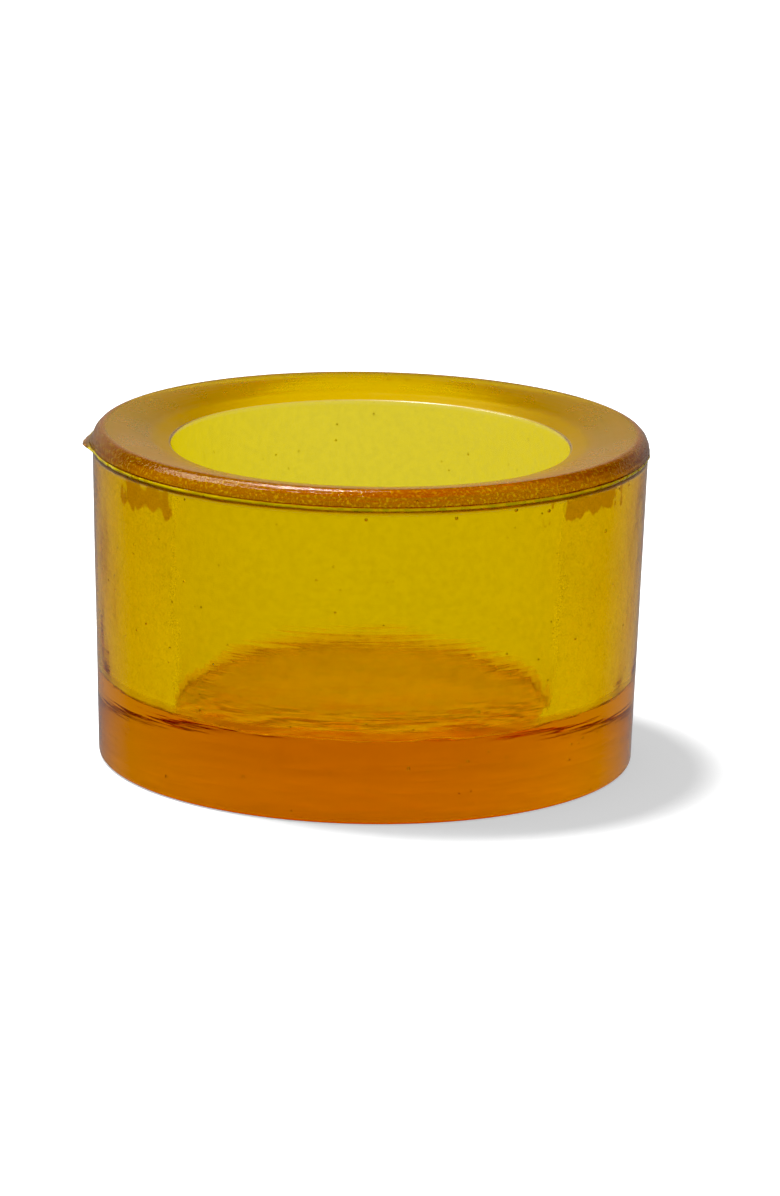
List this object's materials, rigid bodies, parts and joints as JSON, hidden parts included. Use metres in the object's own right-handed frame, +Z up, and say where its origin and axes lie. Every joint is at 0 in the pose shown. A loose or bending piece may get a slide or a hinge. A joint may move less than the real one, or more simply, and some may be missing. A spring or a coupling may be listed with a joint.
{
  "type": "tealight holder",
  "caption": "Thick round cup of pressed amber glass with a heavy base, an open well for a tealight and a shallow funnel rim.",
  "frame": {"origin": "centre of the flat underside, which the holder stands on", "axes": "+Z up along the axis of the cup, -Y the front, -X the side with the spike of flash"},
  "size_m": [0.0913, 0.09, 0.0538],
  "materials": {
    "amber_glass": "clear amber glass, glossy walls and a satin rim"
  },
  "bodies": {
    "root": {"glass_body": "amber_glass"}
  },
  "joints": []
}
